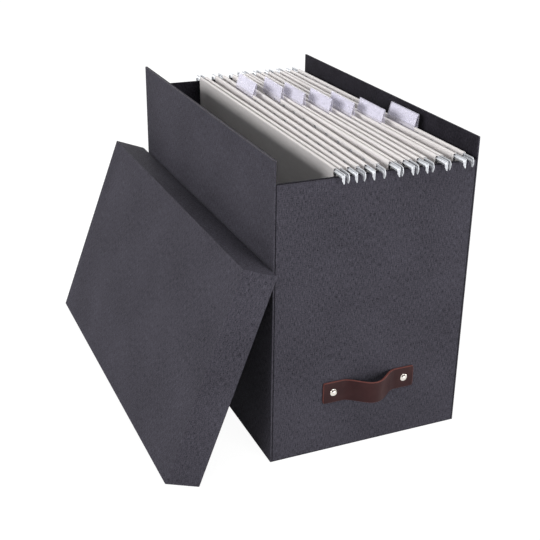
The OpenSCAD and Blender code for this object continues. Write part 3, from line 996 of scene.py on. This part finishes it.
@dataclass
class Folder:
    """A hanging folder: a card sleeve, two rails and, from the second folder on, a tab."""

    number: int
    spread: float
    nudge: float
    turn: float
    tab_y: float | None = None
    tab_lean: float | None = None
    last_number: int = 8
    pitch: float = 16 * MM
    last_gap: float = 9.2 * MM
    clear_x: float = field(default_factory=lambda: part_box("right_cover")[1][0] - 2 * MM)
    wall_top: float = 249 * MM
    rail_half: float = 174.5 * MM
    rail_height: float = 4.5 * MM
    rail_sheet: float = 0.6 * MM
    rail_inset: float = 0.1 * MM
    bead_height: float = 1.3 * MM
    bead_width: float = 2.2 * MM
    bead_fade: float = 2.5 * MM
    hook_drop: float = 3.5 * MM
    hook_inner_radius: float = 2.5 * MM
    tip_width: float = 0.9 * MM
    card: float = 0.4 * MM
    card_top: float = 254 * MM
    pocket_in: float = 0.9 * MM
    pocket_out: float = 2.1 * MM
    pocket_height: float = 14 * MM
    flap_height: float = 12 * MM
    step_up: float = 2 * MM
    step_down: float = 4 * MM
    crease_reach: float = 1.2 * MM
    sleeve_half: float = 159 * MM
    sleeve_floor: float = 12 * MM
    fold_half: float = 1 * MM
    stations: int = 49
    bow: float = 0.7 * MM
    bow_end: float = 16 * MM
    slot_pitch: float = 25 * MM
    slot_length: float = 5 * MM
    slot_height: float = 2.6 * MM
    slot_depth: float = 3.8 * MM
    slot_clear: float = 1.5 * MM
    tab_length: float = 47.5 * MM
    tab_film: float = 0.35 * MM
    film_gap: float = 0.2 * MM
    tab_rise: float = 12 * MM
    tab_foot: float = 3 * MM
    tab_heel: float = 2 * MM
    tab_bend: float = 0.6 * MM
    tab_top: float = 0.8 * MM
    label_paper: float = 0.18 * MM
    label_slack: float = 0.04 * MM
    label_gap: float = 0.8 * MM
    label_top_gap: float = 0.8 * MM
    label_inset: float = 1 * MM

    @property
    def body(self) -> str:
        """The folder's body."""
        return f"folder_{self.number}"

    @property
    def middle_x(self) -> float:
        """The folder's place in the row."""
        return self.clear_x - self.last_gap - (self.last_number - self.number) * self.pitch + self.nudge

    def in_row(self, points: Array) -> Array:
        """Points drawn about x = 0, turned about Z and moved to the folder's place."""
        angle = math.radians(self.turn)
        c, s = math.cos(angle), math.sin(angle)
        turned = points @ np.array([[c, -s, 0], [s, c, 0], [0, 0, 1]]).T
        return turned + np.array([self.middle_x, 0, 0])

    def placed(self, surface: Surface, name: str, smooth_angle: float) -> bpy.types.Object:
        """A closed surface drawn about x = 0, as a piece in the row whose name begins with the body's."""
        surface.points = self.in_row(surface.points)
        return outward(surface.mesh(f"{self.body}_{name}", smooth_angle))

    # The sleeve

    def sleeve_path(self) -> tuple[Array, Array]:
        """The middle of the card in X and Z, from the left flap's end round the fold to the right one's.

        Returns:
            The points, and 1 at each crease and 0 elsewhere.
        """
        half = self.card / 2
        pocket_z = self.card_top - self.pocket_height
        flap_z = pocket_z - self.flap_height
        wide = self.spread / 2 + self.pocket_out - half
        tight = self.spread / 2 - self.pocket_in + half
        slope = (wide + half - self.fold_half) / (pocket_z - self.sleeve_floor)

        def panel(z: float) -> float:
            return self.fold_half - half + slope * (z - self.sleeve_floor)

        slot = self.card_top - self.slot_depth
        low = self.sleeve_floor + half
        top = self.card_top - half
        corners = np.array([
            [0, low],
            [self.fold_half - half, low],
            [wide, pocket_z],
            [wide, top],
            [tight, top],
            [tight, slot + self.slot_height / 2],
            [tight, slot - self.slot_height / 2],
            [tight, pocket_z + self.step_up],
            [panel(pocket_z - self.step_down) - self.card, pocket_z - self.step_down],
            [panel(flap_z) - self.card, flap_z],
        ])
        radii = np.array([0.4, 20, 1.0, 0.7, 0, 0, 4, 6]) * MM
        right = rounded_path(corners, radii)[1:]
        folds = np.linalg.norm(right[:, None] - corners[None, [1, 3, 4]], axis=2).min(1)
        crease = (folds < self.crease_reach).astype(float)
        both = np.concatenate([(right * [-1, 1])[::-1], right])
        return both, np.concatenate([crease[::-1], crease])

    def slots_at(self) -> Array:
        """Middle of each tab slot along the folder."""
        count = math.floor(self.sleeve_half / self.slot_pitch - 0.5)
        return np.arange(-count - 0.5, count + 1) * self.slot_pitch

    def sleeve(self) -> bpy.types.Object:
        """The sleeve: its section carried along Y, with slots cut out of the right inner wall.

        The panels bow out by b sin(pi s), where s runs from the fold to the pocket. Two waves along
        the folder change the bow by up to 0.35 and 0.2 of itself.
        """
        path, crease = self.sleeve_path()
        slots = self.slots_at()
        edges = np.concatenate([slots - self.slot_length / 2, slots + self.slot_length / 2])
        even = np.linspace(-self.sleeve_half, self.sleeve_half, self.stations)
        near = np.abs(even[:, None] - edges[None, :]).min(1) < self.slot_clear
        y = np.sort(np.concatenate([even[~near | (np.abs(even) == self.sleeve_half)], edges]))
        height = self.card_top - self.bow_end - self.sleeve_floor
        share = np.clip((path[:, 1] - self.sleeve_floor) / height, 0, 1)
        long_wave = 0.35 * np.sin(y[None, :] * 31 + self.number * 1.7)
        short_wave = 0.2 * np.sin(y[None, :] * 73 + self.number)
        ripple = 1 + long_wave + short_wave
        x = path[:, :1] + np.sign(path[:, :1]) * self.bow * np.sin(math.pi * share)[:, None] * ripple
        z = np.broadcast_to(path[:, 1:], x.shape)
        middle = np.stack([x, np.broadcast_to(y, x.shape), z], -1)
        present = np.ones((len(path) - 1, len(y) - 1), bool)
        mid_y = (y[1:] + y[:-1]) / 2
        mid_z = (path[1:, 1] + path[:-1, 1]) / 2
        inside = (path[1:, 0] > 0) & (path[1:, 0] < self.spread / 2) & (mid_z < self.card_top - 2 * MM)
        inside &= np.abs(mid_z - (self.card_top - self.slot_depth)) < self.slot_height / 2
        cut_y = np.abs(mid_y[:, None] - slots[None, :]).min(1) < self.slot_length / 2
        present[np.ix_(inside, cut_y)] = False
        surface = folded_sheet(middle, self.card, present, crease=crease[:, None])
        piece = self.placed(surface, "card", 35)
        return settle(piece, CARD, self.body, "folder_card", f"{self.body}_sleeve")

    # The rails

    def half_rail(self, hook: Hook) -> tuple[Array, Array]:
        """The outer and the inner outline of half a rail in Y and Z, from the hook's tip to the middle."""
        end, top, base = self.rail_half, self.wall_top + self.rail_height, self.wall_top
        tip = base - self.hook_drop
        outer = rounded_path(
            np.array([[end - hook.tip_inset, tip], [end, base], [end, top], [0, top]]),
            np.array([2 * MM, hook.radius * 0.95]),
            8,
        )
        inner = rounded_path(
            np.array([
                [end - hook.tip_inset - self.tip_width, tip],
                [end - hook.width, base - self.hook_inner_radius],
                [end - hook.width, base],
                [0, base],
            ]),
            np.array([1 * MM, self.hook_inner_radius * 0.95]),
            8,
        )
        return outer, inner

    def rail(self, side: int) -> bpy.types.Object:
        """A rail: a strip between an outer and an inner outline, with a bead pressed outwards.

        The bead is h cos^2(pi d / w) for its width w at the distance d from the strip's middle, and
        fades at the hooks' tips.

        Args:
            side: -1 for the left rail, 1 for the right one.

        Returns:
            The rail.
        """
        tip = self.wall_top - self.hook_drop
        fronts, backs = ROUND_HOOK, SLIM_HOOK
        if side < 0:
            fronts, backs = backs, fronts
        outer, inner = (
            np.concatenate([back, (front[:-1] * [-1, 1])[::-1]])
            for back, front in zip(self.half_rail(backs), self.half_rail(fronts))
        )
        across = np.linspace(0, 1, 15)
        yz = outer[:, None] * (1 - across[None, :, None]) + inner[:, None] * across[None, :, None]
        width = np.linalg.norm(outer - inner, axis=1)[:, None]
        off = np.abs(across[None, :] - 0.5) * width / (self.bead_width / 2)
        height = np.cos(np.clip(off, 0, 1) * math.pi / 2) ** 2
        fade = np.clip((yz[..., 1] - tip) / self.bead_fade, 0, 1)
        bulge = self.bead_height * height * fade
        x = side * (self.spread / 2 - self.rail_inset + bulge)
        middle = np.stack([x, yz[..., 0], yz[..., 1]], -1)
        word = "left" if side < 0 else "right"
        piece = self.placed(folded_sheet(middle, self.rail_sheet), f"{word}_rail", 45)
        return settle(piece, STEEL, self.body, "rail_steel", f"{self.body}_rail_{word}")

    # The tab

    def tab_path(self) -> Array:
        """The middle of the film in X and Z, from its foot inside the folder over to its heel."""
        rail, gap = self.spread / 2, self.film_gap
        top = self.card_top + self.tab_rise - gap
        return np.array([
            [rail - self.pocket_in - gap, self.card_top - self.tab_foot],
            [rail - self.pocket_in - gap, self.card_top + self.tab_bend],
            [rail + self.tab_lean - self.tab_top, top],
            [rail + self.tab_lean, top],
            [rail + self.pocket_out + gap, self.card_top + self.tab_bend],
            [rail + self.pocket_out + gap, self.card_top - self.tab_heel],
        ])

    def bent(self, path: Array, length: float, thickness: float, name: str) -> bpy.types.Object:
        """A strip of film or paper that follows a path in X and Z for a length along Y."""
        y = np.linspace(-length / 2, length / 2, 9) + self.tab_y
        middle = np.stack([
            np.repeat(path[:, :1], len(y), 1),
            np.repeat(y[None, :], len(path), 0),
            np.repeat(path[:, 1:], len(y), 1),
        ], -1)
        return self.placed(folded_sheet(middle, thickness), name, 30)

    def tab(self) -> None:
        """The clear tab and the label inside its front leg."""
        corners = self.tab_path()
        radii = np.array([0.8, 0.35, 0.35, 0.8]) * MM
        film = self.bent(rounded_path(corners, radii), self.tab_length, self.tab_film, "film")
        settle(film, PLASTIC, self.body, "tab_plastic", f"{self.body}_tab")
        run = corners[2] - corners[1]
        reach = np.linalg.norm(run)
        along = run / reach
        behind = np.array([along[1], -along[0]]) * (self.tab_film + self.label_paper + self.label_slack) / 2
        up = np.linspace(self.label_gap, reach - self.label_top_gap, 5)[:, None]
        length = self.tab_length - 2 * self.label_inset
        line = corners[1] + along * up + behind
        paper = self.bent(line, length, self.label_paper, "paper")
        settle(paper, LABEL, self.body, "label_paper", f"{self.body}_label")

    def build(self) -> None:
        """Makes all the folder's pieces."""
        self.sleeve()
        self.rail(-1)
        self.rail(1)
        if self.tab_y is not None:
            self.tab()


@dataclass
class FolderRow:
    """The eight folders, from the left, with lengths in millimetres and turns in degrees."""

    spreads: tuple[float, ...] = (4.2, 7, 9.2, 3.1, 4.4, 5.4, 3.3, 7.7)
    nudges: tuple[float, ...] = (0.3, -0.1, 2.4, 1.4, -1.4, -3.6, -5, -4.3)
    turns: tuple[float, ...] = (-0.6, -1.6, -2.3, -1, -1, -1.1, -0.4, 0.5)
    tabs: tuple[float | None, ...] = (None, 93, 71, 43, 13.5, -5, -36, -59.5)
    leans: tuple[float | None, ...] = (None, 3.4, 1.8, 1.8, 2.4, 1.5, 2.4, 3.2)

    def build(self) -> None:
        """Builds the folders in order."""
        rows = zip(self.spreads, self.nudges, self.turns, self.tabs, self.leans)
        for number, (spread, nudge, turn, tab, lean) in enumerate(rows, 1):
            tabbed = (None, None) if tab is None else (tab * MM, lean * MM)
            Folder(number, spread * MM, nudge * MM, turn, *tabbed).build()


# Studio


@dataclass(frozen=True)
class Lamp:
    """A rectangular area lamp that points at the middle of the box."""

    name: str
    place: Triple
    width: float
    height: float
    power: float
    aim: Triple = (0, 0, 0.15)

    def hang(self) -> None:
        """Adds the lamp to the scene."""
        data = bpy.data.lights.new(self.name, "AREA")
        data.shape = "RECTANGLE"
        data.size, data.size_y = self.width, self.height
        data.energy = self.power
        lamp = bpy.data.objects.new(self.name, data)
        lamp.location = self.place
        way = np.array(self.aim) - np.array(self.place)
        yaw = math.atan2(way[1], way[0]) - math.pi / 2
        pitch = math.atan2(math.hypot(way[0], way[1]), -way[2])
        lamp.rotation_euler = (pitch, 0, yaw)
        bpy.context.scene.collection.objects.link(lamp)


LAMPS = (
    Lamp("left_lamp", (-2.15, -0.1, 0.98), 2.4, 0.65, 49),
    Lamp("front_lamp", (0.58, -2.19, 0.55), 1.0, 1.0, 38),
    Lamp("sky_lamp", (-0.1, -0.7, 2.3), 1.4, 1.4, 30),
    Lamp("right_lamp", (2.26, 0.0, 0.55), 1.0, 1.0, 26),
    Lamp("back_lamp", (0.0, 2.26, 0.55), 1.0, 1.0, 28),
)


@dataclass
class Studio:
    """Camera, lamps, background and floor."""

    eye: Triple = (-0.37788, -0.82209, 0.49865)
    angles: Triple = (65.8557, -0.9390, -23.6067)
    lens: float = 67.23
    shift: tuple[float, float] = (-0.01728, 0.00393)
    ambient: float = 0.04
    shadow_share: float = 0.12
    floor_glow: float = 1.08
    floor_half: float = 6.0
    floor_z: float = -0.2 * MM

    def camera(self) -> None:
        """The photograph's viewpoint, on a sensor 36 mm wide."""
        data = bpy.data.cameras.new("camera")
        data.sensor_width = 36
        data.lens = self.lens
        data.shift_x, data.shift_y = self.shift
        data.clip_start = 0.05
        camera = bpy.data.objects.new("camera", data)
        camera.location = self.eye
        camera.rotation_euler = Euler([math.radians(a) for a in self.angles], "XYZ")
        bpy.context.scene.collection.objects.link(camera)
        bpy.context.scene.camera = camera

    def world(self) -> None:
        """White where the camera or a reflection looks, and plain light elsewhere."""
        world = bpy.data.worlds.new("world")
        bpy.context.scene.world = world
        nodes = Nodes(world)
        white = (1, 1, 1, 1)
        plain = nodes.node("ShaderNodeBackground", {}, {"Color": white, "Strength": self.ambient})
        bright = nodes.node("ShaderNodeBackground", {}, {"Color": white})
        nodes.blend(nodes.seen(), plain, bright, nodes.tree.nodes.new("ShaderNodeOutputWorld"))

    def floor(self) -> None:
        """A pale floor that shows white to the camera and keeps a share of the shadow."""
        corners = np.array([[-1, -1], [1, -1], [1, 1], [-1, 1]]) * self.floor_half
        points = np.concatenate([corners, np.full((4, 1), self.floor_z)], 1)
        floor = Surface(points, [(0, 1, 2, 3)]).mesh("floor")
        book = NodeBook("floor")
        book.set(Base_Color=(0.95, 0.95, 0.95, 1), Roughness=1.0, Specular_IOR_Level=0.0)
        glow = book.node("ShaderNodeEmission", {}, {"Strength": self.floor_glow})
        away = book.node("ShaderNodeVectorMath", {"operation": "LENGTH"}, {0: book.place()}, "Value")
        share = book.seen() * (1 - self.shadow_share * (1 - away.ramp(0.3, 0.7)))
        book.blend(share, Wire(book, book.shader.outputs[0]), glow, book.output)
        floor.data.materials.append(book.material)

    def dark_card(self) -> None:
        """A black card in front that only reflections show, as a photographer sets up for bright metal."""
        x, z = np.array([-1.6, 2.4, 2.4, -1.6]), np.array([0.3, 0.3, 1.7, 1.7])
        card = Surface(np.stack([x, np.full(4, -2.0), z], 1), [(0, 1, 2, 3)]).mesh("dark_card")
        book = NodeBook("dark_card")
        book.set(Base_Color=(0.004, 0.004, 0.004, 1), Roughness=1.0, Specular_IOR_Level=0.0)
        card.data.materials.append(book.material)
        for ray in ("camera", "diffuse", "transmission", "volume_scatter", "shadow"):
            setattr(card, f"visible_{ray}", False)

    def build(self) -> None:
        """Sets the whole studio up."""
        bpy.context.scene.view_settings.view_transform = "Standard"
        self.camera()
        self.world()
        self.floor()
        self.dark_card()
        for lamp in LAMPS:
            lamp.hang()


def main() -> None:
    """Builds the studio and every sub-assembly."""
    logging.basicConfig(level=logging.INFO, format="%(message)s")
    for part in (Studio(), BoxShell(), Handle(), Lid(), FolderRow()):
        part.build()
        log.info("%s done", type(part).__name__)


if __name__ == "__main__":
    main()
